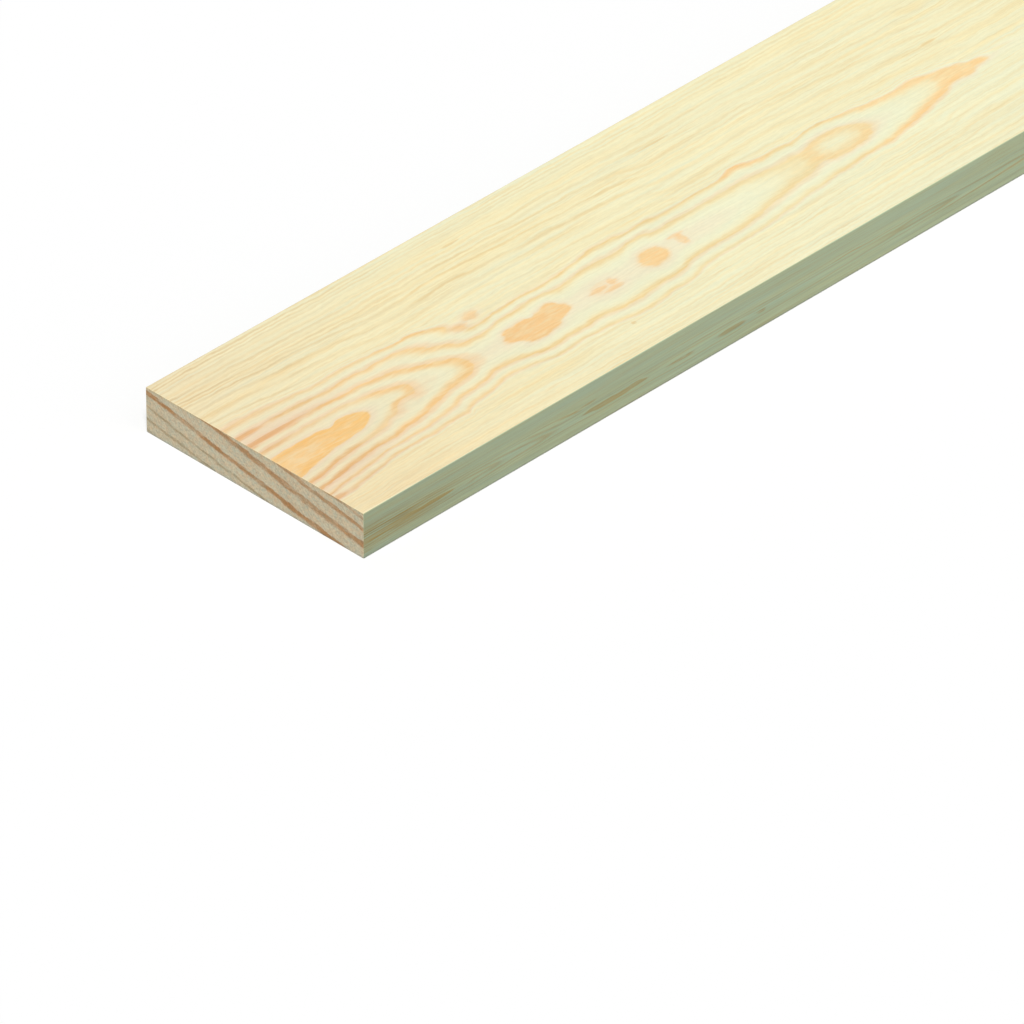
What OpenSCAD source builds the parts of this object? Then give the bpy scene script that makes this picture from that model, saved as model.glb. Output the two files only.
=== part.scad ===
// Planed square-edge softwood plank, lying flat on its back face.
// One sawn and planed piece: the length runs along X, the width along Y and the thickness along Z.
// The origin is the middle of the back face, which rests on the ground.

/* [Plank] */
// Length from sawn end to sawn end
plank_length = 1800; // [300:100:6000]
// Finished width across the face
plank_width = 119; // [19:1:300]
// Finished thickness between the two planed faces
plank_thickness = 21; // [8:0.5:75]

/* [Edges] */
// Radius of the four eased long arrises
arris_radius = 0.5; // [0.1:0.1:3]

/* [Hidden] */

// Facets of a full turn on the eased arrises
$fn = 64;

// Colour of the planed pine
pine_colour = [0.95, 0.91, 0.74];

// Where the eased arrises have their centres, out from the middle of the width and up from the back face
arris_offset = plank_width / 2 - arris_radius;
arris_levels = [arris_radius, plank_thickness - arris_radius];

// The planed cross-section: a rectangle on its back face whose four corners are quarter rounds.
// The two squares run between the rounds, one up the full thickness and one across the full width.
module planed_section() {
    translate([-arris_offset, 0])
        square([2 * arris_offset, plank_thickness]);
    translate([-plank_width / 2, arris_levels[0]])
        square([plank_width, arris_levels[1] - arris_levels[0]]);
    for (side = [-1, 1], level = arris_levels)
        translate([side * arris_offset, level])
            circle(r = arris_radius);
}

// The plank is its section run along the length and sawn square at both ends.
module plank() {
    color(pine_colour)
        rotate([90, 0, 90])
            translate([0, 0, -plank_length / 2])
                linear_extrude(height = plank_length)
                    planed_section();
}

plank();
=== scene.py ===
"""A planed pine plank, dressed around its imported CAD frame.

One board lies flat on its back face: length along X, width along Y and thickness along Z. Its mesh follows the CAD
box, with eased arrises and sawn ends, and its four finishes draw the flat-sawn figure of the wood from growth rings.
"""

import math
from collections import namedtuple
from functools import partial, reduce

import bmesh
import bpy
from bpy.props import FloatProperty, FloatVectorProperty, IntProperty, PointerProperty
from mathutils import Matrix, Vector


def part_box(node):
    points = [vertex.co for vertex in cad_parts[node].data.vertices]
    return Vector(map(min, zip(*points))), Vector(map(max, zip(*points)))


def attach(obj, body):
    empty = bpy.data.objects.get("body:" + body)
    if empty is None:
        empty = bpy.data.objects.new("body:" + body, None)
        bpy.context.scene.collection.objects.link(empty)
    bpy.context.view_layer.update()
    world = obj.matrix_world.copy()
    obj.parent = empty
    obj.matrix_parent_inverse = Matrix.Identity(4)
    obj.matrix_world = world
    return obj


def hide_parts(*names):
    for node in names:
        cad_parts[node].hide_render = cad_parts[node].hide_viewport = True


bl_info = {
    "name": "Planed Pine Plank",
    "version": (1, 0, 0),
    "blender": (4, 5, 0),
    "location": "View3D > Sidebar > Plank",
    "description": "Makes a planed pine plank and the stage that it is shown on",
    "category": "Add Mesh",
}

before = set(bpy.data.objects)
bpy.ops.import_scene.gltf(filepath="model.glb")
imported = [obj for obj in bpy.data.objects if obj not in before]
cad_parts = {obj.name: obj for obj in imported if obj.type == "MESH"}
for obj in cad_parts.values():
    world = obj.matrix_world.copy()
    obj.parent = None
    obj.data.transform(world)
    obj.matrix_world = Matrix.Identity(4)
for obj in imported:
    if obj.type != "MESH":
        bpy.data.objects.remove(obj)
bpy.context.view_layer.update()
BOARD_LOW, BOARD_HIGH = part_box("plank")
BOARD_SIZE = BOARD_HIGH - BOARD_LOW
MM = 1000.0


def wood_colour(name, description, *screen):
    """A colour that a user may change, given as three screen values from 11 to 255."""
    return FloatVectorProperty(
        name=name,
        description=description,
        default=[((value / 255 + 0.055) / 1.055) ** 2.4 for value in screen],
        size=3,
        min=0.0,
        max=1.0,
        subtype="COLOR",
    )


def measure(name, description, default, **settings):
    """A length that a user may change."""
    return FloatProperty(
        name=name,
        description=description,
        default=default,
        unit="LENGTH",
        subtype="DISTANCE",
        **settings,
    )


class PlankSizes(bpy.types.PropertyGroup):
    """What the board measures and how finely it is meshed."""

    length: measure("Length", "From sawn end to sawn end", BOARD_SIZE.x)
    width: measure("Width", "Finished width across the face", BOARD_SIZE.y)
    thickness: measure("Thickness", "Finished thickness between the planed faces", BOARD_SIZE.z)
    arris: measure("Arris radius", "Radius of the four eased long arrises", 0.0005, precision=4)
    end_easing: measure("End easing", "How far the sawn ends' edges are rubbed down", 0.0002, precision=4)
    bays: IntProperty(
        name="Bays",
        description="Lengths that the mesh is divided into, a multiple of six",
        default=36,
        min=6,
        step=6,
    )
    lanes: IntProperty(
        name="Lanes",
        description="Strips across the width that the mesh is divided into",
        default=6,
        min=1,
    )


class PlankColours(bpy.types.PropertyGroup):
    """The colours of the wood."""

    earlywood: wood_colour("Earlywood", "Pale wood that fills most of each growth ring", 242, 242, 206)
    blush: wood_colour("Blush", "Straw-coloured wood where a ring turns from early to late", 249, 236, 186)
    latewood: wood_colour("Latewood", "Orange wood that closes each growth ring", 251, 208, 144)
    near_latewood: wood_colour("Near latewood", "Browner late wood at the near end of the face", 230, 183, 122)
    ring_line: wood_colour("Ring line", "Yellower late wood of the lines round the heart", 239, 208, 144)
    golden: wood_colour("Golden latewood", "Yellower late wood of the patch where the figure starts", 250, 211, 135)
    resin: wood_colour("Resin", "Brown of the thin outer ring lines and the resin streaks", 235, 208, 150)
    near_resin: wood_colour("Near resin", "Darker brown of the outer ring lines at the near end", 216, 198, 152)
    halo: wood_colour("Halo", "Faint pink round the islands of the figure", 243, 229, 199)
    end_early: wood_colour("End earlywood", "Pale wood on the sawn ends", 233, 219, 186)
    end_late: wood_colour("End latewood", "Reddish brown ring lines on the sawn ends", 200, 153, 105)
    end_thin: wood_colour("End thin lines", "Olive brown of the thin lines low on the sawn ends", 176, 152, 108)
    # Pale edge wood whose green tint is painted cool shade, not a colour of the wood itself.
    edge_early_cool_shade: wood_colour("Edge earlywood", "Pale edge wood with a painted green tint of cool shade", 217, 232, 193)
    edge_late: wood_colour("Edge latewood", "Brown streaks along the long edges", 206, 173, 96)


class StageSettings(bpy.types.PropertyGroup):
    """The camera and the light."""

    aim: FloatVectorProperty(
        name="Aim",
        description="The point that the camera looks at",
        default=(-0.859636, -0.098635, 0.021),
        size=3,
        unit="LENGTH",
        subtype="XYZ",
    )
    azimuth: FloatProperty(
        name="Azimuth",
        description="How far the camera stands round from the front",
        default=math.radians(-45.224),
        subtype="ANGLE",
    )
    elevation: FloatProperty(
        name="Elevation",
        description="How far the camera stands above the horizon",
        default=math.radians(35.522),
        subtype="ANGLE",
    )
    distance: measure("Distance", "From the camera to its aim", 4.288206)
    lens: FloatProperty(
        name="Lens",
        description="Focal length on a sensor 36 mm wide, in millimetres",
        default=398.75,
    )
    key_strength: FloatProperty(
        name="Key strength",
        description="Strength of the soft key light",
        default=2.78,
        min=0.0,
    )
    fill_strength: FloatProperty(
        name="Fill strength",
        description="Strength of the even light from all round",
        default=0.25,
        min=0.0,
    )
    floor_return: FloatProperty(
        name="Floor return",
        description="Share of the light that the floor throws back at the board",
        default=0.2,
        min=0.0,
        max=1.0,
        subtype="FACTOR",
    )


class Grain:
    """Draws a pattern in one material: each call adds a node fed by numbers or by other nodes."""

    def __init__(self, tree):
        self.tree = tree

    def add(self, kind, **settings):
        node = self.tree.nodes.new(kind)
        for name, value in settings.items():
            setattr(node, name, value)
        return node

    def feed(self, socket, value):
        if isinstance(value, bpy.types.NodeSocket):
            self.tree.links.new(value, socket)
        else:
            socket.default_value = value

    def wired(self, node, *values):
        """Feeds a node's inputs in their order, and gives its first output."""
        for socket, value in zip(node.inputs, values):
            self.feed(socket, value)
        return node.outputs[0]

    def math(self, operation, *values, clamp=False):
        return self.wired(self.add("ShaderNodeMath", operation=operation, use_clamp=clamp), *values)

    def plus(self, *values):
        return reduce(partial(self.math, "ADD"), values)

    def minus(self, first, second):
        return self.math("SUBTRACT", first, second)

    def times(self, *values):
        return reduce(partial(self.math, "MULTIPLY"), values)

    def over(self, first, second):
        return self.math("DIVIDE", first, second)

    def ramp(self, value, low, high, start=0.0, stop=1.0):
        """Eases from start to stop as value goes from low to high."""
        node = self.add("ShaderNodeMapRange", interpolation_type="SMOOTHSTEP", clamp=True)
        return self.wired(node, value, low, high, start, stop)

    def mean(self, share, first, second):
        """first at a share of 0, second at a share of 1, and their mean weighted by share in between."""
        return self.plus(first, self.times(share, self.minus(second, first)))

    def noise(self, along, across, run, rise, seed, detail=2.0):
        """Noise about zero, from -1 to 1, whose grains are run long and rise wide."""
        place = self.wired(self.add("ShaderNodeCombineXYZ"), self.over(along, run), self.over(across, rise), seed)
        node = self.add("ShaderNodeTexNoise", noise_dimensions="3D")
        self.feed(node.inputs["Vector"], place)
        self.feed(node.inputs["Scale"], 1.0)
        self.feed(node.inputs["Detail"], detail)
        return self.math("MULTIPLY_ADD", node.outputs[0], 2.0, -1.0)

    def random(self, value):
        """A random number from 0 to 1 for each value."""
        node = self.add("ShaderNodeTexWhiteNoise", noise_dimensions="1D")
        self.feed(node.inputs["W"], value)
        return node.outputs[0]

    def curve(self, value, points):
        """A smooth line through points, given as (value, result) pairs in rising order."""
        lows = [min(pair[i] for pair in points) for i in (0, 1)]
        spans = [max(pair[i] for pair in points) - lows[i] for i in (0, 1)]
        node = self.add("ShaderNodeFloatCurve")
        node.mapping.extend = "HORIZONTAL"
        knots = node.mapping.curves[0].points
        while len(knots) < len(points):
            knots.new(0.5, 0.5)
        for knot, pair in zip(knots, points):
            knot.location = [(pair[i] - lows[i]) / spans[i] for i in (0, 1)]
            knot.handle_type = "AUTO_CLAMPED"
        node.mapping.update()
        self.feed(node.inputs["Factor"], 1.0)
        self.feed(node.inputs["Value"], self.over(self.minus(value, lows[0]), spans[0]))
        return self.math("MULTIPLY_ADD", node.outputs[0], spans[1], lows[1])

    def blend(self, share, first, second, blend_type="MIX"):
        """Mixes two colours."""
        node = self.add("ShaderNodeMix", data_type="RGBA", blend_type=blend_type)
        self.feed(node.inputs[0], share)
        for socket, value in ((node.inputs[6], first), (node.inputs[7], second)):
            self.feed(socket, value if isinstance(value, bpy.types.NodeSocket) else (*value, 1.0))
        return node.outputs[2]

    def mixed(self, red, green, blue):
        """A colour from three values."""
        return self.wired(self.add("ShaderNodeCombineColor"), red, green, blue)

    def shaded(self, colour, *shades):
        """A colour multiplied by one shade, or by one for each of its channels."""
        channels = shades if len(shades) == 3 else shades * 3
        return self.blend(1.0, colour, self.mixed(*channels), "MULTIPLY")

    def ripple(self, along, run, seed):
        """Noise about zero that changes only along the board, in waves that are run long."""
        return self.noise(along, 0.0, run, 1.0, seed, 1.0)

    def span(self, value, rise, fall):
        """1 between rise and fall, each given as the two values that it eases over, and 0 outside them."""
        return self.times(self.ramp(value, *rise), self.ramp(value, fall[1], fall[0]))

    def oval(self, along, across, middle, half):
        """1 in the middle of an oval that reaches half along and across, 0 on its rim and below 0 outside it."""
        x = self.over(self.minus(along, middle[0]), half[0])
        y = self.over(self.minus(across, middle[1]), half[1])
        return self.plus(1.0, self.times(x, x, -1.0), self.times(y, y, -1.0))

    def blot(self, along, across, middle, half, seed):
        """Above 0 inside an oval with a frayed rim, and below 0 outside it."""
        fray = self.noise(along, across, run=half[0] * 0.9, rise=half[1] * 0.6, seed=seed)
        return self.plus(self.oval(along, across, middle, half), self.times(fray, 1.2))

    def dent(self, along, across, middle, half, depth):
        """depth in the middle of a soft oval, and 0 outside it."""
        level = self.math("MAXIMUM", self.oval(along, across, middle, half), 0.0)
        return self.times(level, level, depth)

    def place(self):
        """Object coordinates in millimetres: along from the near end, across from the far edge, down from the top."""
        coordinates = self.add("ShaderNodeTexCoord")
        split = self.add("ShaderNodeSeparateXYZ")
        self.feed(split.inputs[0], coordinates.outputs["Object"])
        along = self.math("MULTIPLY_ADD", split.outputs[0], MM, -BOARD_LOW.x * MM)
        across = self.math("MULTIPLY_ADD", split.outputs[1], -MM, BOARD_HIGH.y * MM)
        down = self.math("MULTIPLY_ADD", split.outputs[2], -MM, BOARD_HIGH.z * MM)
        return along, across, down


# The heart line of the figure: millimetres from the near end, and millimetres in from the far edge.
HEART_LINE = (
    (0, 76.3), (25, 74), (47, 72.6), (60, 72), (75, 73), (90, 75), (101, 76.4), (118, 77.6), (131, 77.8),
    (147, 77), (160, 77.8), (180, 77.8), (202, 76.4), (232, 75.8), (250, 74.9), (264, 74), (280, 73.4),
    (295, 71.9), (312, 71.7), (330, 72.7), (350, 72), (362, 70.2), (371, 69.8), (382, 71.4), (398, 71.9),
    (450, 70), (520, 70),
)
# How many rings the planed face has cut through along its heart line, which closes arches and islands.
HEART_RINGS = (
    (0, -0.7), (20, -0.5), (36, -0.44), (43, -0.25), (47.5, 0), (53, 0.33), (60, 0.56), (66, 0.77),
    (71.5, 0.96), (77, 1.15), (83, 1.34), (90, 1.56), (95, 1.74), (98.5, 1.94), (102, 2.12), (110, 2.26),
    (117, 2.16), (121, 1.95), (126, 1.8), (133, 1.72), (140, 1.77), (147, 1.77), (151, 1.9), (155, 2.12),
    (159, 2.2), (172, 2.06), (188, 2.18), (193, 2.1), (197, 1.94), (202, 1.87), (206, 1.95), (210, 2.12),
    (214, 2.18), (232, 2.2), (248, 2.34), (262, 2.5), (278, 2.72), (284, 2.77), (290, 2.8), (295, 2.86),
    (301, 2.72), (309, 2.62), (316, 2.66), (323, 2.84), (329, 3.08), (334, 3.25), (342, 3.38), (350, 3.52),
    (360, 3.64), (367, 3.72), (373, 3.87), (384, 3.91), (393, 3.97), (398, 4.1), (406, 4.26), (520, 4.5),
)
# How deep the pith lies under the face, in millimetres: the smaller, the more pointed the arches.
PITH_DEPTH = (
    (0, 8), (20, 6), (40, 5.5), (60, 8), (80, 10), (90, 13), (100, 18), (112, 22), (140, 22), (172, 35),
    (202, 28), (232, 25), (262, 26), (280, 24), (306, 19.5), (318, 19.5), (332, 25), (376, 26), (385, 22),
    (389, 10), (396, 8), (404, 14), (430, 28), (520, 30),
)
# How many millimetres each ring takes up.
RING_PITCH = ((0, 5.2), (20, 5.6), (40, 5.3), (60, 6.2), (80, 5.5), (90, 4.8), (100, 3.9), (112, 3.3), (520, 3.3))
# How far the rings above the heart line trail behind it, from 0 to 1.
RING_LAG = ((0, 0), (50, 0), (72, 0.5), (90, 1), (111, 1), (116, 0.85), (124, 0.7), (132, 0.5), (520, 0.5))
# How much wider the rings spread on each side of the heart line than their pitch says.
UPPER_STRETCH = (
    (0, 1), (40, 1), (60, 0.96), (80, 1), (125, 1), (145, 0.93), (165, 0.97), (180, 0.98), (195, 0.98),
    (210, 0.92), (225, 0.95), (250, 0.95), (265, 1), (520, 1),
)
LOWER_STRETCH = (
    (0, 1), (35, 1.02), (60, 1.17), (78, 1.08), (95, 1), (262, 1), (280, 1.07), (293, 1.2), (302, 1.14),
    (315, 1.06), (335, 1.05), (350, 1.03), (365, 1), (520, 1),
)
# How much the outermost rings of the near figure are drawn together on the near edge's side.
LOWER_GATHER = ((0, 0.07), (20, 0.08), (40, 0.12), (60, 0.15), (72, 0.12), (84, 0), (520, 0))
# How far the outer rings on the far edge's side have sunk towards the heart line, by millimetres from the near end,
# for the ring that starts SAG_START in from that edge.
SAG_START = 21.5
UPPER_SAG = (
    (0, 0), (20, 0.8), (40, 2.5), (70, 4), (100, 6.5), (115, 5.8), (130, 4.8), (150, 6), (170, 7), (210, 8.3),
    (230, 10), (250, 13.3), (270, 13), (285, 11.5), (320, 14), (335, 14.5), (350, 16.5), (370, 17.5), (390, 20),
    (410, 23.3), (430, 22.5), (520, 24),
)
# The share of that sag that is felt, by millimetres in from the far edge.
SAG_SHARE = ((0, 0.7), (15, 0.7), (23, 0.76), (29, 1), (60, 1))
# How far the outer rings on the near edge's side fan out from it, by millimetres from the near end.
LOWER_FAN = (
    (0, 0.6), (30, 0.8), (60, 0.93), (80, 1.05), (100, 1.13), (115, 1.05), (150, 1.02), (175, 0.93),
    (200, 1.02), (230, 1.18), (260, 1.23), (280, 1.34), (300, 1.43), (320, 1.5), (335, 1.55), (350, 1.66),
    (365, 1.9), (520, 2.1),
)
# The numbers of the outer rings, by millimetres in from each edge before they sag or fan out.
UPPER_RINGS = (
    (0, 19.2), (2.3, 18), (4, 17), (5.6, 16), (7.4, 15), (10.7, 14), (13, 13), (15.4, 12), (17.7, 11),
    (19.6, 10), (21.5, 9), (26, 8), (30.5, 7), (35.5, 6), (38, 5), (40, 4.35), (60, 4.25),
)
LOWER_RINGS = (
    (0, 13), (2, 12), (3.5, 11), (5.5, 10), (7.5, 9), (10, 8), (13.5, 7), (15.5, 6), (18.5, 5), (22, 4.35),
    (60, 4.25),
)
# How strongly the late wood of each ring shows, by ring number: the first on the heart line, the last at the edges.
RING_STRENGTH = (
    (0, 1), (1, 0.85), (2, 0.94), (3, 0.88), (4, 0.9), (5, 0.12), (6, 0.3), (7, 0.3), (8, 0.46), (9, 0.5),
    (10, 0.28), (11, 0.46), (12, 0.2), (13, 0.38), (14, 0.18), (15, 0.16), (16, 0.36), (17, 0.5), (18, 0.48),
    (19, 0.35), (20, 0.25),
)
# Past the last ring, the strengths from the first outer ring on come round again.
FIRST_OUTER_RING, LAST_RING = 5, 20
# The share of each ring at which its late wood starts and stops, with its line at LINE_PEAK.
RING_START = ((0, -0.25), (1, 0.06), (2, 0.06), (3, 0.12), (4, 0.12), (5, 0.2), (9, 0.2), (10, 0.06), (20, 0.06))
RING_STOP = ((0, 0.66), (1, 0.9), (2, 0.92), (3, 0.87), (4, 0.9), (5, 0.8), (9, 0.8), (10, 0.94), (20, 0.94))
LINE_PEAK = 0.5
# How much darker and pinker the face is towards its near end, by millimetres from that end.
NEAR_TINT = ((0, 1), (20, 0.86), (75, 0.48), (165, 0.17), (275, 0.05), (400, 0))
# How that changes across the face, by millimetres in from the far edge.
NEAR_ACROSS = (
    (0, 1), (25, 1), (34, 0.88), (46, 0.88), (57, 1.12), (95, 1.12), (108, 1), (113, 1.2), (119, 1.3),
)
# Where single rings swerve: the middle of the swerve along and across, how far it reaches, and the rings it adds.
DENTS = (
    ((62, 78.5), (9, 6), 0.38),
    ((65, 71.5), (7, 5), -0.14),
    ((76, 73), (7, 8), 0.16),
    ((31, 68), (5, 3.5), 0.3),
    ((1, 84), (7, 4), -0.2),
    ((123.5, 72), (5, 4), -0.13),
    ((147.5, 71), (5.5, 4), -0.1),
    ((137.5, 69.5), (3.2, 4.5), 0.26),
    ((149, 82.5), (8, 5), 0.3),
    ((121.5, 82), (6, 4), 0.25),
    ((267, 54), (14, 6), -0.25),
)
# Where the outer wood is more or less straw-coloured: the middle, how far it reaches, and how much.
STRAW_PATCHES = (
    ((140, 28), (105, 9), 0.42),
    ((100, 20.5), (45, 5), 0.2),
    ((170, 2.5), (300, 8), -0.3),
    ((115, 105), (38, 4.5), 0.35),
)
# Small blemishes on the face: the middle, how far each reaches, and how strong it is.
ORANGE_MARKS = (
    ((121.8, 54.2), (4.2, 2.6), 0.6),
    ((113.4, 57), (4, 2.3), 0.5),
    ((169, 77.5), (5.5, 1.3), 0.62),
    ((177.5, 76.8), (2.2, 2), 0.62),
    ((175.5, 80.6), (5.5, 1.3), 0.62),
    ((217.5, 72.2), (4.4, 1.1), 0.65),
    ((217.8, 75.4), (2.3, 3.8), 0.65),
    ((1, 104.4), (5.5, 1.4), 0.55),
    ((2, 50.2), (11, 1.7), 0.7),
    ((7, 56.6), (19, 1.4), 0.7),
)
RESIN_MARKS = (
    ((151, 13.8), (5, 0.7), 0.7),
    ((257, 20.6), (10, 0.6), 0.7),
    ((163.2, 102.7), (1.3, 1), 0.7),
    ((388, 48), (5, 1), 0.7),
)
# Where this figure ends and the rest of the board's rings take over, in millimetres from the near end.
FIGURE_END = (440, 500)
# The rest of the board: how deep its pith lies and how wide its rings are, in millimetres, how many rings its heart
# line cuts through, and how many more each millimetre past TAPER_START adds.
FAR_PITH, FAR_PITCH, FAR_RINGS = 28, 3.2, 4.2
TAPER_START, TAPER = 400, 0.0065
# The share of a ring at which the late wood of the rest of the board starts and stops.
FAR_START, FAR_STOP = 0.1, 0.85
# Where the forms along the heart line start: the islands, the loop, the tip, the line that closes in on it, and the
# warm bend before the loop, which has an end too.
ISLAND_START, LOOP_START, TIP_START = (103, 110), (288, 298), (366, 374)
CLOSING_START = (300, 345)
BEND_START, BEND_END = (252, 264), (276, 290)
# Where rings are weaker than their strength says, or stronger where a level is below 0: their numbers, or none for
# all outer rings, their side of the heart line, the places along that the level eases between, the levels there, and
# the places over which it fades out again.
WEAK_RINGS = (
    ((1,), "above", (8, 20), (0.2, 0.5), (50, 62)),
    ((1,), "below", (28, 36), (0, 0.4), (52, 60)),
    ((2,), "above", (40, 55), (0, 0.15), (72, 85)),
    ((3,), "below", (70, 95), (0.3, 0), None),
    ((3,), "above", (0, 1), (0.12, 0.12), None),
    ((3,), "both", (215, 245), (0, 0.14), (283, 297)),
    ((4,), "below", (200, 235), (0.32, 0.5), (280, 300)),
    ((4,), "below", (300, 340), (0, -0.18), None),
    ((4,), "above", (60, 95), (0.4, 0), None),
    ((4,), "above", (80, 95), (0, -0.05), (108, 118)),
    ((4,), "above", BEND_START, (0, -0.3), BEND_END),
    ((6,), "above", (35, 45), (-0.5, 0), None),
    ((7, 8), "above", (35, 50), (0.35, 0), None),
    ((8, 9, 11), "above", (95, 130), (0, -0.9), (215, 240)),
    ((12,), "above", (70, 85), (0, -1.2), (160, 175)),
    ((13,), "above", (22, 35), (0, 0.4), (100, 120)),
    ((14,), "above", (225, 240), (0, -1.5), (290, 310)),
    ((), "above", (20, 150), (-0.9, 0), None),
    ((), "below", (100, 240), (0.4, 0.1), None),
)


def ring_number(grain, along, across):
    """Growth rings cut by a flat-sawn face: a whole number lies on each ring's outer line.

    It also gives the swayed place across, the millimetres from the heart line, how far outward a point is from that
    line, from 0 to 1, and whether it is past the near figure.
    """
    noise = partial(grain.noise, along, across)
    beyond = grain.ramp(along, *FIGURE_END)
    slow_sway = noise(run=60, rise=22, seed=1.3)
    sway = grain.plus(
        grain.times(slow_sway, grain.plus(0.7, grain.times(beyond, 1.3))),
        grain.times(noise(run=15, rise=12, seed=2.7), 1.3),
        grain.times(noise(run=5, rise=2, seed=4.1), 0.55),
    )
    drift = grain.times(beyond, grain.ripple(along, run=330, seed=5.9), 12)
    heart = grain.plus(grain.curve(along, HEART_LINE), drift)
    swayed = grain.plus(across, sway)
    off = grain.minus(swayed, heart)
    skew = grain.times(grain.ramp(along, 70, 10), grain.math("MULTIPLY_ADD", off, 0.0093, 0.25))
    above = grain.over(grain.times(off, grain.plus(1, skew)), grain.curve(along, UPPER_STRETCH))
    gather = grain.times(grain.curve(along, LOWER_GATHER), grain.ramp(off, 18, 30))
    below = grain.over(grain.times(off, grain.plus(1, gather)), grain.curve(along, LOWER_STRETCH))
    side = grain.mean(grain.math("GREATER_THAN", off, 0), above, below)
    trail = grain.times(grain.ramp(grain.times(side, -1), 8, 30), grain.curve(along, RING_LAG), 38)
    lag = grain.minus(along, trail)
    pith = grain.curve(lag, PITH_DEPTH)
    pitch = grain.curve(lag, RING_PITCH)
    taper = grain.math("MAXIMUM", grain.times(grain.minus(along, TAPER_START), TAPER), 0)
    waves = grain.plus(
        grain.times(grain.ripple(lag, run=105, seed=7.7), 1.9),
        grain.times(grain.ripple(lag, run=27, seed=8.8), 0.45),
    )
    far_rings = grain.plus(FAR_RINGS, taper, waves)
    ridge = grain.mean(beyond, grain.curve(lag, HEART_RINGS), far_rings)
    reach = grain.math("SQRT", grain.plus(grain.times(pith, pith), grain.times(side, side)))
    dents = [grain.dent(along, across, *dent) for dent in DENTS]
    inner = grain.plus(ridge, grain.over(grain.minus(reach, pith), pitch), *dents)
    bunching = grain.times(noise(run=420, rise=8, seed=6.6), 4.6)
    offset = grain.minus(grain.plus(swayed, bunching), grain.plus(75.5, grain.times(along, 0.006)))
    spread = grain.math("SQRT", grain.plus(FAR_PITH**2, grain.times(offset, offset)))
    flare = grain.math("POWER", grain.over(grain.math("ABSOLUTE", offset), 48), 3)
    far_outer = grain.plus(1.2, taper, grain.over(grain.minus(spread, FAR_PITH), FAR_PITCH), flare)
    full_sag = grain.over(grain.curve(along, UPPER_SAG), SAG_START)
    sag = grain.plus(1, grain.times(full_sag, grain.curve(swayed, SAG_SHARE)))
    upper = grain.curve(grain.over(swayed, sag), UPPER_RINGS)
    in_from_edge = grain.minus(BOARD_SIZE.y * MM, swayed)
    lower = grain.curve(grain.over(in_from_edge, grain.curve(along, LOWER_FAN)), LOWER_RINGS)
    near_outer = grain.mean(grain.math("GREATER_THAN", side, 0), upper, lower)
    outer = grain.mean(beyond, near_outer, far_outer)
    far_outward = grain.ramp(grain.math("ABSOLUTE", side), 24, 50)
    outward = grain.mean(beyond, grain.ramp(inner, 4.05, 4.6), far_outward)
    rag = grain.plus(
        grain.times(noise(run=14, rise=1, seed=9.4, detail=3), 0.07),
        grain.times(noise(run=4, rise=3, seed=10.3), 0.06, grain.minus(1, outward)),
    )
    return grain.plus(grain.mean(outward, inner, outer), rag), swayed, side, outward, beyond


# How high the grain stands, in metres.
GRAIN_HEIGHT = 0.0002
# The specular level of planed faces, planed edges and sawn ends.
FACE_GLOSS, EDGE_GLOSS, END_GLOSS = 0.25, 0.2, 0.15
# The mean roughness of planed and of sawn wood, and the strength of their bump.
PLANED_ROUGHNESS, SAWN_ROUGHNESS = 0.58, 0.75
PLANED_BUMP, SAWN_BUMP = 0.25, 0.3
# How much the fibres, the streaks and the clouds lighten and darken a planed face.
FIBRE_LIGHT, STREAK_LIGHT, CLOUD_LIGHT = 0.09, 0.05, 0.03


def finish_wood(grain, colour, roughness, height, specular, bump_strength):
    """Joins a pattern to a Principled surface."""
    shader = grain.add("ShaderNodeBsdfPrincipled")
    grain.feed(shader.inputs["Base Color"], colour)
    grain.feed(shader.inputs["Roughness"], roughness)
    grain.feed(shader.inputs["Specular IOR Level"], specular)
    bump = grain.add("ShaderNodeBump")
    grain.feed(bump.inputs["Strength"], bump_strength)
    grain.feed(bump.inputs["Distance"], GRAIN_HEIGHT)
    grain.feed(bump.inputs["Height"], height)
    grain.feed(shader.inputs["Normal"], bump.outputs[0])
    grain.feed(grain.add("ShaderNodeOutputMaterial").inputs["Surface"], shader.outputs[0])


def new_material(name):
    """An empty node material and its pattern maker."""
    material = bpy.data.materials.new(name)
    material.use_nodes = True
    material.node_tree.nodes.clear()
    return material, Grain(material.node_tree)


Figure = namedtuple("Figure", "late blush halo outer patch fill outward fibre streak cloud")


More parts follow.
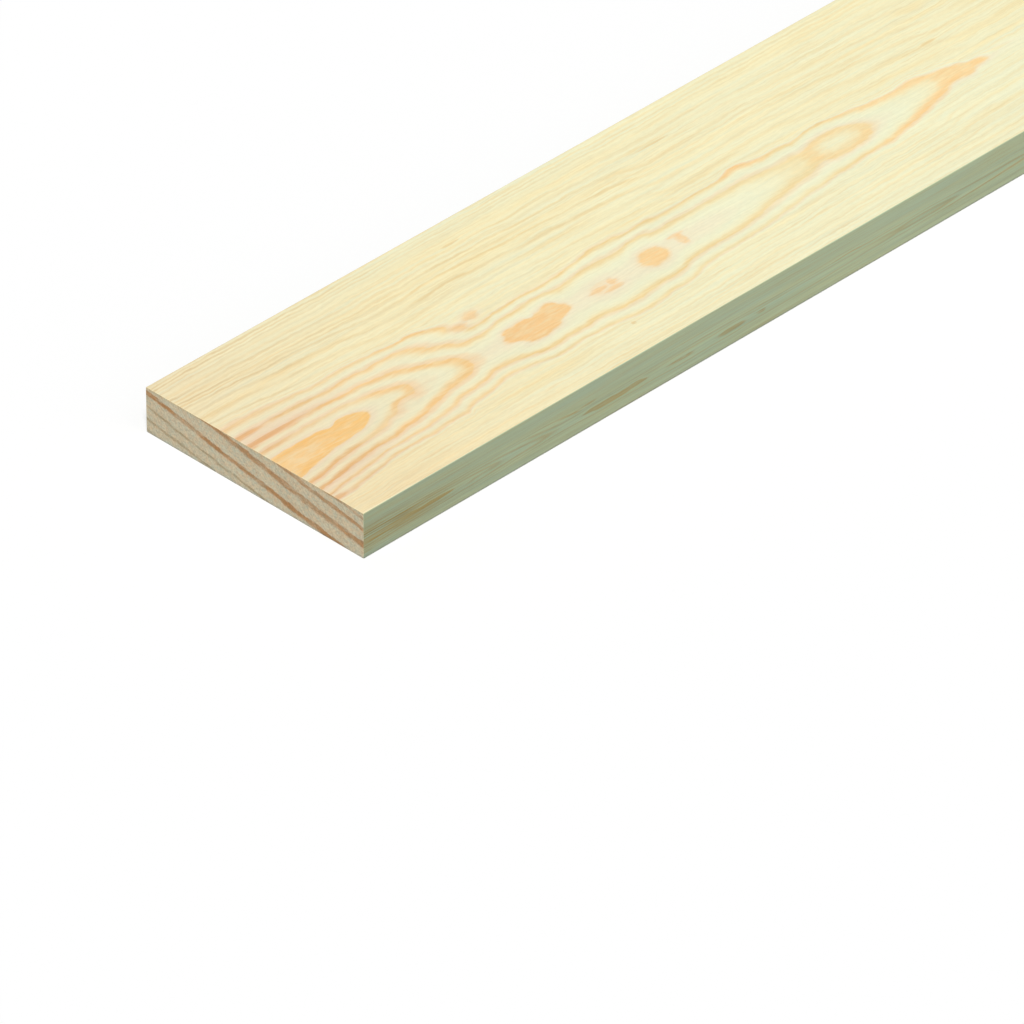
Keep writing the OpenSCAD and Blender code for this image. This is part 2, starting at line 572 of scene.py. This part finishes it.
def long_grain(grain, along, across):
    """The patterns of wood that was planed along its grain."""
    rings, swayed, side, outward, beyond = ring_number(grain, along, across)
    noise = partial(grain.noise, along, swayed)
    counted = grain.plus(grain.math("MAXIMUM", rings, -0.45), LINE_PEAK)
    ring = grain.math("FLOOR", counted)
    share = grain.minus(counted, ring)
    chance = grain.random(ring)
    cycle = grain.math("WRAP", ring, LAST_RING + 1, FIRST_OUTER_RING)
    is_outer = grain.math("GREATER_THAN", ring, LAST_RING)
    listed = grain.mean(is_outer, ring, cycle)

    def only(number):
        return grain.math("COMPARE", ring, number, 0.1)

    island = grain.times(only(2), grain.ramp(along, *ISLAND_START))
    loop = grain.times(only(3), grain.ramp(along, *LOOP_START))
    tip = grain.times(only(4), grain.ramp(along, *TIP_START))
    closing_line = grain.times(only(4), grain.ramp(along, *CLOSING_START))
    warm_bend = grain.times(only(4), grain.span(along, BEND_START, BEND_END))
    early = grain.plus(grain.times(island, 0.18), grain.times(loop, 0.05))
    crisp = grain.plus(grain.times(island, 0.24), grain.times(loop, 0.12), grain.times(tip, 0.22))
    start = grain.mean(beyond, grain.minus(grain.curve(listed, RING_START), early), FAR_START)
    stop = grain.mean(beyond, grain.minus(grain.curve(listed, RING_STOP), crisp), FAR_STOP)
    body = grain.ramp(share, start, grain.math("MINIMUM", grain.plus(start, 0.36), LINE_PEAK))
    closing = grain.ramp(share, stop, LINE_PEAK)
    broken = grain.noise(along, grain.times(ring, 5), run=34, rise=1, seed=11.2)
    fading = grain.ramp(broken, -0.35, 0.35, 0.4, 1)
    below = grain.ramp(side, -3, 3)
    above = grain.minus(1, below)
    sides = {"above": above, "below": below, "both": 1.0}
    weak = []
    for numbers, name, places, levels, fade in WEAK_RINGS:
        chosen = grain.plus(*map(only, numbers)) if numbers else outward
        level = grain.ramp(along, *places, *levels)
        if fade:
            level = grain.times(level, grain.ramp(along, fade[1], fade[0]))
        weak.append(grain.times(chosen, sides[name], level))
    weakness = grain.times(grain.plus(*weak), grain.minus(1, beyond))
    listed_strength = grain.curve(listed, RING_STRENGTH)
    far_strength = grain.ramp(chance, 0, 1, 0.55, 1)
    heart_strength = grain.mean(beyond, listed_strength, far_strength)
    outer_strength = grain.times(listed_strength, fading)
    strength = grain.times(grain.mean(outward, heart_strength, outer_strength), grain.minus(1, weakness))
    distance = grain.ramp(along, 60, 300, 1, 0.85)
    mottle = grain.ramp(noise(run=7, rise=1.1, seed=37.5), -0.5, 0.3, 0.62, 1)
    fibre = noise(run=38, rise=0.6, seed=13.6, detail=3)
    streak = noise(run=110, rise=2.1, seed=15.2)
    cloud = grain.noise(along, across, run=70, rise=16, seed=17.1)
    wisp = noise(run=130, rise=2.6, seed=19.3)
    thin = grain.times(grain.ramp(grain.math("ABSOLUTE", wisp), 0.1, 0), outward, fading)
    hollow = grain.times(
        only(0),
        grain.ramp(share, 0.36, 0.1),
        grain.ramp(along, 30, 18),
        grain.ramp(grain.noise(along, across, run=9, rise=4, seed=45.5), -0.5, 0.3, 0.3, 1),
    )
    rise = grain.times(grain.ramp(share, -0.1, LINE_PEAK), closing)
    inner_blush = grain.times(rise, 0.7)
    band = noise(run=160, rise=5, seed=49.5)
    outer_blush = grain.plus(
        0.4,
        grain.times(band, 0.4),
        grain.times(below, grain.ramp(along, 70, 260, 0.02, -0.22)),
        grain.times(rise, 0.2),
        grain.times(streak, 0.55),
        *[grain.dent(along, across, *patch) for patch in STRAW_PATCHES],
    )
    rim = grain.times(grain.ramp(share, 0.5, 0.6), grain.ramp(share, 0.95, 0.65), grain.minus(1, outward))
    near_rim = grain.times(grain.span(rings, (2.05, 2.4), (2.6, 2.85)), grain.ramp(along, 75, 15))
    filled = grain.plus(island, grain.times(loop, 0.6), closing_line, grain.times(warm_bend, above))
    return Figure(
        late=grain.times(body, closing, strength, distance, mottle, grain.minus(1, grain.times(hollow, 0.28))),
        blush=grain.mean(outward, inner_blush, outer_blush),
        halo=grain.plus(grain.times(rim, 0.5), grain.times(near_rim, 0.55)),
        outer=grain.times(thin, 0.35),
        patch=only(0),
        fill=grain.math("MINIMUM", filled, 1),
        outward=outward,
        fibre=fibre,
        streak=streak,
        cloud=cloud,
    )


def planed_colour(grain, figure, colours, late):
    """Lays a planed face's colours over each other."""
    colour = grain.blend(grain.math("MAXIMUM", figure.blush, 0, clamp=True), colours.earlywood, colours.blush)
    colour = grain.blend(figure.late, colour, late)
    colour = grain.blend(figure.halo, colour, colours.halo)
    return grain.blend(figure.outer, colour, colours.resin)


def grain_light(grain, figure):
    """Light and dark of the fibres, streaks and clouds of a planed face."""
    return grain.plus(
        1,
        grain.times(figure.fibre, FIBRE_LIGHT),
        grain.times(figure.streak, STREAK_LIGHT),
        grain.times(figure.cloud, CLOUD_LIGHT),
    )


# How the blemishes and the halo round an orange one fade at their rims, as levels of their blots.
ORANGE_RIM, RESIN_RIM, HALO_RIM = (-0.6, 0.9), (-0.4, 0.7), (-2.5, 0)
HALO_STRENGTH = 0.4
# The first seed of each kind's frayed rims.
ORANGE_SEED, RESIN_SEED = 40.5, 50.5


def orange_marks(grain, colour, along, across, paint, halo=None, share=1):
    """Lays the small orange marks over a colour, each in its halo where one is given."""
    for index, (middle, half, strength) in enumerate(ORANGE_MARKS):
        mark = grain.blot(along, across, middle, half, ORANGE_SEED + index)
        if halo is not None:
            colour = grain.blend(grain.ramp(mark, *HALO_RIM, 0, HALO_STRENGTH), colour, halo)
        colour = grain.blend(grain.ramp(mark, *ORANGE_RIM, 0, share * strength), colour, paint)
    return colour


def planed_surface(grain, figure, colour, specular):
    """Finishes planed wood: late wood is a little smoother and stands a little proud of the fibres."""
    roughness = grain.plus(PLANED_ROUGHNESS, grain.times(figure.fibre, 0.08), grain.times(figure.late, -0.08))
    height = grain.plus(grain.times(figure.late, 0.5), grain.times(figure.fibre, 0.5))
    finish_wood(grain, colour, roughness, height, specular, PLANED_BUMP)


# What the near end's tint multiplies the figure and the outer wood by.
FIGURE_TINT, OUTER_TINT = (0.958, 0.842, 0.812), (0.967, 0.88, 0.86)
# Where the ring lines near the end are warmer than further on, in millimetres from the end.
WARM_START, WARM_END = (35, 55), (100, 120)


def make_face(colours):
    """Planed face with the flat-sawn figure, a little darker and pinker towards the near end."""
    material, grain = new_material("planed_pine_face")
    along, across, _ = grain.place()
    figure = long_grain(grain, along, across)
    near = grain.curve(along, NEAR_TINT)
    corner = grain.times(grain.ramp(along, 26, 0), grain.ramp(across, 18, 2), 0.5)
    heart_late = grain.blend(near, colours.latewood, colours.near_latewood)
    line_late = grain.blend(grain.times(near, near, near), colours.ring_line, colours.near_latewood)
    warm = grain.times(grain.span(along, WARM_START, WARM_END), 0.5)
    line_late = grain.blend(warm, line_late, colours.latewood)
    inner_late = grain.blend(figure.patch, grain.blend(figure.fill, line_late, heart_late), colours.golden)
    outer_late = grain.blend(near, colours.resin, colours.near_resin)
    late = grain.blend(figure.outward, inner_late, outer_late)
    colour = planed_colour(grain, figure, colours, late)
    colour = orange_marks(grain, colour, along, across, heart_late, colours.halo)
    for index, (middle, half, strength) in enumerate(RESIN_MARKS):
        mark = grain.blot(along, across, middle, half, RESIN_SEED + index)
        colour = grain.blend(grain.ramp(mark, *RESIN_RIM, 0, strength), colour, colours.resin)
    fuzz = grain.noise(along, across, run=2.4, rise=1, seed=39.5)
    ruddy = grain.times(grain.noise(along, across, run=3, rise=1.6, seed=47.5), 0.022)
    light = grain.plus(grain_light(grain, figure), grain.times(fuzz, 0.055))
    colour = grain.shaded(colour, grain.plus(light, ruddy), light, grain.minus(light, ruddy))
    near = grain.plus(grain.times(near, grain.curve(across, NEAR_ACROSS)), corner)
    tint = grain.blend(figure.outward, FIGURE_TINT, OUTER_TINT)
    colour = grain.blend(near, colour, tint, "MULTIPLY")
    planed_surface(grain, figure, colour, FACE_GLOSS)
    return material


# How far along the log the figure of the back and of the far edge lies from that of the face and of the near edge.
BACK_SHIFT, FAR_EDGE_SHIFT = 520, 610


def make_back(colours):
    """Planed back, cut from the same log with its own figure."""
    material, grain = new_material("planed_pine_back")
    along, across, _ = grain.place()
    figure = long_grain(grain, grain.plus(along, BACK_SHIFT), grain.minus(BOARD_SIZE.y * MM, across))
    late = grain.blend(figure.outward, colours.latewood, colours.resin)
    colour = planed_colour(grain, figure, colours, late)
    colour = grain.shaded(colour, grain_light(grain, figure))
    planed_surface(grain, figure, colour, FACE_GLOSS)
    return material


# How light the long edges are, by millimetres from the near end.
EDGE_SHADE = ((0, 0.87), (27, 0.9), (80, 0.95), (133, 0.96), (186, 0.99), (240, 1.01), (293, 1.03), (330, 1.03))
# How strong the late wood of the edges is in the figure's lines and in its islands, and how strong their marks are.
EDGE_LINES, EDGE_ISLANDS, EDGE_MARKS = 0.54, 0.72, 0.75


def make_edge(colours):
    """Planed long edges, where the figure is drawn out in narrow streaks."""
    material, grain = new_material("planed_pine_edge")
    along, across, down = grain.place()
    is_far = grain.math("LESS_THAN", across, BOARD_SIZE.y * MM / 2)
    shifted = grain.plus(along, grain.times(is_far, FAR_EDGE_SHIFT))
    drawn = grain.times(down, BOARD_SIZE.y / BOARD_SIZE.z)
    figure = long_grain(grain, shifted, drawn)
    calm = grain.ramp(down, 5, 10, 0.45, 1)
    islands = grain.math("MAXIMUM", figure.fill, figure.patch)
    late = grain.times(figure.late, grain.mean(islands, EDGE_LINES, EDGE_ISLANDS), calm)
    # The edge wood's colour carries a painted green tint of cool shade.
    colour = grain.blend(late, colours.edge_early_cool_shade, colours.edge_late)
    colour = grain.blend(figure.outer, colour, colours.edge_late)
    colour = orange_marks(grain, colour, shifted, drawn, colours.edge_late, share=EDGE_MARKS)
    stain = grain.times(
        grain.ramp(along, 0, 75, 1, 0),
        grain.ramp(grain.math("ABSOLUTE", grain.minus(down, 12)), 8, 2),
        grain.ramp(grain.noise(along, down, run=30, rise=0.8, seed=31.5), -0.3, 0.4),
    )
    colour = grain.blend(grain.times(stain, 0.8), colour, colours.edge_late)
    cool = grain.noise(shifted, down, run=45, rise=3, seed=33.5)
    light = grain.plus(
        grain.curve(along, EDGE_SHADE),
        grain.times(grain.noise(shifted, down, run=16, rise=0.7, seed=41.5, detail=3), 0.12, calm),
        grain.times(grain.noise(shifted, down, run=70, rise=1.6, seed=43.5), 0.16, calm),
    )
    colour = grain.shaded(
        colour, grain.minus(light, grain.times(cool, 0.08)), light, grain.plus(light, grain.times(cool, 0.12))
    )
    planed_surface(grain, figure, colour, EDGE_GLOSS)
    return material


# Where the ring lines cross the sawn end: millimetres above a sloping line through the far top corner, and the number
# of the ring that ends there.
END_RINGS = ((-25, -2.2), (-19, -1), (-13.4, 0), (-7.9, 1), (-0.8, 2), (7.8, 3), (14.8, 4), (19.8, 5), (27, 6.4))
# How strongly each of these rings shows.
END_STRENGTH = ((-2, 0.5), (-1, 0.72), (0, 0.66), (1, 1), (2, 0.9), (3, 0.85), (4, 0.6), (6, 0.5))
# How much the lines fall for each millimetre across.
END_SLOPE = 0.178
# How far across and up the far end's own pattern lies from that of the near end.
FAR_END_SHIFT, FAR_END_LIFT = 300, 3.1
# The slant of the saw marks, as the cosine and the sine of its angle.
SAW_COS, SAW_SIN = 0.62, 0.78
# What the end's colour is multiplied by at the top, where it is darker and browner along the rim, and at the bottom,
# where a painted contact shadow darkens the rim, and where each starts and is full.
TOP_RIM, BOTTOM_SHADOW = (0.93, 0.89, 0.8), (0.84, 0.9, 0.97)
TOP_RIM_REACH, BOTTOM_SHADOW_REACH = (1.4, 0.2), (19.4, 20.7)


def make_end(colours):
    """Sawn ends with the rings in section, speckled pores and slanting saw marks."""
    material, grain = new_material("sawn_pine_end")
    along, across, down = grain.place()
    is_far = grain.math("GREATER_THAN", along, BOARD_SIZE.x * MM / 2)
    seen = grain.plus(across, grain.times(is_far, FAR_END_SHIFT))
    noise = partial(grain.noise, seen, down)
    sway = grain.plus(
        grain.times(noise(run=40, rise=14, seed=21.5), 1.1),
        grain.times(noise(run=6, rise=3, seed=23.5), 0.8),
        grain.times(noise(run=1.3, rise=0.8, seed=24.5), 0.5),
    )
    lift = grain.times(is_far, FAR_END_LIFT)
    height = grain.plus(grain.minus(grain.times(across, END_SLOPE), down), sway, lift)
    rings = grain.curve(height, END_RINGS)
    ring = grain.math("FLOOR", rings)
    share = grain.minus(rings, ring)
    thin = grain.ramp(rings, 1.15, 0.95)
    start = grain.plus(grain.ramp(across, 40, 100, 0.61, 0.53), grain.times(thin, 0.06))
    beads = grain.ramp(noise(run=7, rise=1.6, seed=25.5), -0.5, 0.3, 0.45, 1)
    line = grain.times(
        grain.ramp(share, start, grain.plus(start, 0.15)),
        grain.ramp(share, 1, 0.9),
        grain.curve(ring, END_STRENGTH),
        beads,
    )
    late = grain.blend(thin, colours.end_late, colours.end_thin)
    colour = grain.blend(line, colours.end_early, late)
    speckle = noise(run=0.8, rise=0.7, seed=27.5)
    warm = noise(run=2.2, rise=1.8, seed=29.5, detail=3)
    slant = grain.plus(grain.times(seen, SAW_COS), grain.times(down, SAW_SIN))
    cut = grain.minus(grain.times(down, SAW_COS), grain.times(seen, SAW_SIN))
    saw = grain.noise(slant, cut, run=14, rise=0.7, seed=35.5)
    light = grain.plus(1, grain.times(speckle, 0.36), grain.times(saw, 0.18))
    colour = grain.shaded(
        colour,
        grain.plus(light, grain.times(warm, 0.17)),
        grain.minus(light, grain.times(warm, 0.06)),
        grain.minus(light, grain.times(warm, 0.22)),
    )
    colour = grain.blend(grain.ramp(down, *TOP_RIM_REACH), colour, TOP_RIM, "MULTIPLY")
    # Painted contact shadow along the bottom rim of the end.
    colour = grain.blend(grain.ramp(down, *BOTTOM_SHADOW_REACH), colour, BOTTOM_SHADOW, "MULTIPLY")
    roughness = grain.plus(SAWN_ROUGHNESS, grain.times(speckle, 0.1))
    bump = grain.plus(grain.times(speckle, 0.5), grain.times(saw, 0.5))
    finish_wood(grain, colour, roughness, bump, END_GLOSS, SAWN_BUMP)
    return material


# The faces that each finish covers, as the axis and the sign of their normals.
FINISHES = (
    (make_face, [(2, 1)]),
    (make_back, [(2, -1)]),
    (make_edge, [(1, 1), (1, -1)]),
    (make_end, [(0, 1), (0, -1)]),
)
# How many steps round the arrises and the rubbed ends take.
ARRIS_STEPS, RUB_STEPS = 4, 2
# Edges that turn by more than this are corners of the board.
CORNER_ANGLE = math.radians(60)
# Faces whose normals keep to one axis by at least this are flat, and the others are rounded.
FLAT = 0.999


def board_mesh(sizes):
    """The board in the CAD box: a block with eased long arrises and rubbed-down ends."""
    bm = bmesh.new()
    bmesh.ops.create_cube(bm, size=1.0)
    bmesh.ops.scale(bm, vec=(sizes.length, sizes.width, sizes.thickness), verts=bm.verts)
    bmesh.ops.translate(bm, vec=(BOARD_LOW + BOARD_HIGH) / 2, verts=bm.verts)

    def edges_along(axis):
        return [e for e in bm.edges if abs((e.verts[1].co - e.verts[0].co).normalized()[axis]) > 0.99]

    bmesh.ops.subdivide_edges(bm, edges=edges_along(0), cuts=sizes.bays - 1, use_grid_fill=True)
    bmesh.ops.subdivide_edges(bm, edges=edges_along(1), cuts=sizes.lanes - 1, use_grid_fill=True)

    def is_corner(edge):
        return edge.calc_face_angle() > CORNER_ANGLE

    def round_off(edges, reach, steps):
        bmesh.ops.bevel(
            bm,
            geom=edges,
            offset=reach,
            offset_type="OFFSET",
            segments=steps,
            profile=0.5,
            affect="EDGES",
            material=-1,
            clamp_overlap=True,
        )

    round_off([e for e in edges_along(0) if is_corner(e)], sizes.arris, ARRIS_STEPS)
    round_off([e for e in bm.edges if is_corner(e)], sizes.end_easing, RUB_STEPS)
    bmesh.ops.recalc_face_normals(bm, faces=bm.faces)
    return bm


def facing(face):
    """The axis and sign that a face looks along most."""
    axis = max(range(3), key=lambda i: abs(face.normal[i]))
    return axis, 1 if face.normal[axis] > 0 else -1


# The board's own map for baking, 1024 pixels wide: for each way that faces look, the axes laid along and up the map,
# the strips that the first is cut into, the pixels for a millimetre, and the corner that the strips start from.
MAP_SIZE, MAP_GAP = 1024, 5
MAP_STRIPS = {
    (2, 1): (0, 1, 3, 1.55, (5, 5)),
    (2, -1): (0, 1, 2, 1.03, (5, 575)),
    (1, 1): (0, 2, 2, 1.03, (5, 831)),
    (1, -1): (0, 2, 2, 1.03, (5, 885)),
    (0, 1): (1, 2, 1, 3.8, (5, 939)),
    (0, -1): (1, 2, 1, 3.8, (463, 939)),
}


def lay_out(bm):
    """Lays each side of the board flat on a map, the long ones in strips above each other."""
    layer = bm.loops.layers.uv.new("OFBake")
    for face in bm.faces:
        run, rise, strips, scale, corner = MAP_STRIPS[facing(face)]
        span = BOARD_SIZE[run] / strips
        middle = face.calc_center_median()
        strip = min(int((middle[run] - BOARD_LOW[run]) / span), strips - 1)
        lift = corner[1] + strip * (BOARD_SIZE[rise] * MM * scale + MAP_GAP)
        for loop in face.loops:
            place = loop.vert.co - BOARD_LOW
            u = corner[0] + (place[run] - strip * span) * MM * scale
            v = lift + place[rise] * MM * scale
            loop[layer].uv = (u / MAP_SIZE, v / MAP_SIZE)


class PLANK_OT_board(bpy.types.Operator):
    """Makes the planed board"""

    bl_idname = "plank.board"
    bl_label = "Make the board"

    def execute(self, context):
        sizes = context.scene.plank_sizes
        bm = board_mesh(sizes)
        mesh = bpy.data.meshes.new("planed_board")
        finish_of = {}
        for index, (maker, ways) in enumerate(FINISHES):
            mesh.materials.append(maker(context.scene.plank_colours))
            finish_of.update(dict.fromkeys(ways, index))
        for face in bm.faces:
            face.material_index = finish_of[facing(face)]
            face.smooth = max(abs(part) for part in face.normal) < FLAT
        lay_out(bm)
        bm.to_mesh(mesh)
        bm.free()
        board = bpy.data.objects.new("planed_board", mesh)
        context.scene.collection.objects.link(board)
        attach(board, "root")
        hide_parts("plank")
        return {"FINISHED"}


# The camera's sensor in millimetres, how far the floor reaches, and how far it lies under the board.
SENSOR_WIDTH = 36.0
FLOOR_REACH, FLOOR_GAP = 40.0, 0.0001
# How far the key light stands above the horizon and round from the near end to the front, and how wide it looks.
KEY_HEIGHT, KEY_TURN, KEY_SPREAD = math.radians(58), math.radians(35), math.radians(24)


class PLANK_OT_stage(bpy.types.Operator):
    """Makes the floor, the light and the camera"""

    bl_idname = "plank.stage"
    bl_label = "Make the stage"

    def execute(self, context):
        settings = context.scene.plank_stage
        self.make_camera(context, settings)
        self.make_floor(context, settings)
        self.make_light(context, settings)
        context.scene.view_settings.view_transform = "Standard"
        return {"FINISHED"}

    def make_camera(self, context, settings):
        a, e = settings.azimuth, settings.elevation
        back = Vector((math.sin(a) * math.cos(e), -math.cos(a) * math.cos(e), math.sin(e)))
        data = bpy.data.cameras.new("camera")
        data.sensor_width = SENSOR_WIDTH
        data.lens = settings.lens
        data.clip_end = 100.0
        camera = bpy.data.objects.new("camera", data)
        camera.location = Vector(settings.aim) + back * settings.distance
        camera.rotation_mode = "QUATERNION"
        camera.rotation_quaternion = (-back).to_track_quat("-Z", "Y")
        context.scene.collection.objects.link(camera)
        context.scene.camera = camera

    def seen(self, grain):
        """1 for rays that show a surface to the camera, straight or by reflection, and 0 for those that light it."""
        path = grain.add("ShaderNodeLightPath")
        names = ("Is Camera Ray", "Is Glossy Ray", "Is Transmission Ray")
        total = grain.plus(*[path.outputs[name] for name in names])
        return grain.math("MINIMUM", total, 1.0)

    def make_floor(self, context, settings):
        bm = bmesh.new()
        bmesh.ops.create_grid(bm, x_segments=1, y_segments=1, size=FLOOR_REACH)
        bmesh.ops.translate(bm, vec=(0.0, 0.0, BOARD_LOW.z - FLOOR_GAP), verts=bm.verts)
        mesh = bpy.data.meshes.new("floor")
        bm.to_mesh(mesh)
        bm.free()
        material, grain = new_material("white_floor")
        diffuse = grain.add("ShaderNodeBsdfDiffuse")
        shade = grain.mean(self.seen(grain), settings.floor_return, 1.0)
        grain.feed(diffuse.inputs["Color"], grain.mixed(shade, shade, shade))
        grain.feed(grain.add("ShaderNodeOutputMaterial").inputs["Surface"], diffuse.outputs[0])
        mesh.materials.append(material)
        floor = bpy.data.objects.new("floor", mesh)
        context.scene.collection.objects.link(floor)

    def make_light(self, context, settings):
        key = bpy.data.lights.new("key", "SUN")
        key.energy = settings.key_strength
        key.angle = KEY_SPREAD
        lamp = bpy.data.objects.new("key", key)
        level = math.cos(KEY_HEIGHT)
        source = Vector((-level * math.cos(KEY_TURN), -level * math.sin(KEY_TURN), math.sin(KEY_HEIGHT)))
        lamp.rotation_mode = "QUATERNION"
        lamp.rotation_quaternion = (-source).to_track_quat("-Z", "Y")
        context.scene.collection.objects.link(lamp)
        world = bpy.data.worlds.new("studio")
        world.use_nodes = True
        world.node_tree.nodes.clear()
        grain = Grain(world.node_tree)
        background = grain.add("ShaderNodeBackground")
        grain.feed(background.inputs["Strength"], grain.mean(self.seen(grain), settings.fill_strength, 1.0))
        grain.feed(background.inputs["Color"], (1.0, 1.0, 1.0, 1.0))
        grain.feed(grain.add("ShaderNodeOutputWorld").inputs["Surface"], background.outputs[0])
        context.scene.world = world


class PLANK_PT_sidebar(bpy.types.Panel):
    """Sizes, colours and stage of the plank"""

    bl_idname = "PLANK_PT_sidebar"
    bl_label = "Planed Pine Plank"
    bl_space_type = "VIEW_3D"
    bl_region_type = "UI"
    bl_category = "Plank"

    def draw(self, context):
        layout = self.layout
        for operator, settings in (
            ("plank.board", context.scene.plank_sizes),
            (None, context.scene.plank_colours),
            ("plank.stage", context.scene.plank_stage),
        ):
            for name in settings.__annotations__:
                layout.prop(settings, name)
            if operator:
                layout.operator(operator)


CLASSES = (PlankSizes, PlankColours, StageSettings, PLANK_OT_board, PLANK_OT_stage, PLANK_PT_sidebar)


def register():
    for cls in CLASSES:
        bpy.utils.register_class(cls)
    bpy.types.Scene.plank_sizes = PointerProperty(type=PlankSizes)
    bpy.types.Scene.plank_colours = PointerProperty(type=PlankColours)
    bpy.types.Scene.plank_stage = PointerProperty(type=StageSettings)


def unregister():
    del bpy.types.Scene.plank_stage
    del bpy.types.Scene.plank_colours
    del bpy.types.Scene.plank_sizes
    for cls in reversed(CLASSES):
        bpy.utils.unregister_class(cls)


def main():
    register()
    bpy.ops.plank.stage()
    bpy.ops.plank.board()


if __name__ == "__main__":
    main()
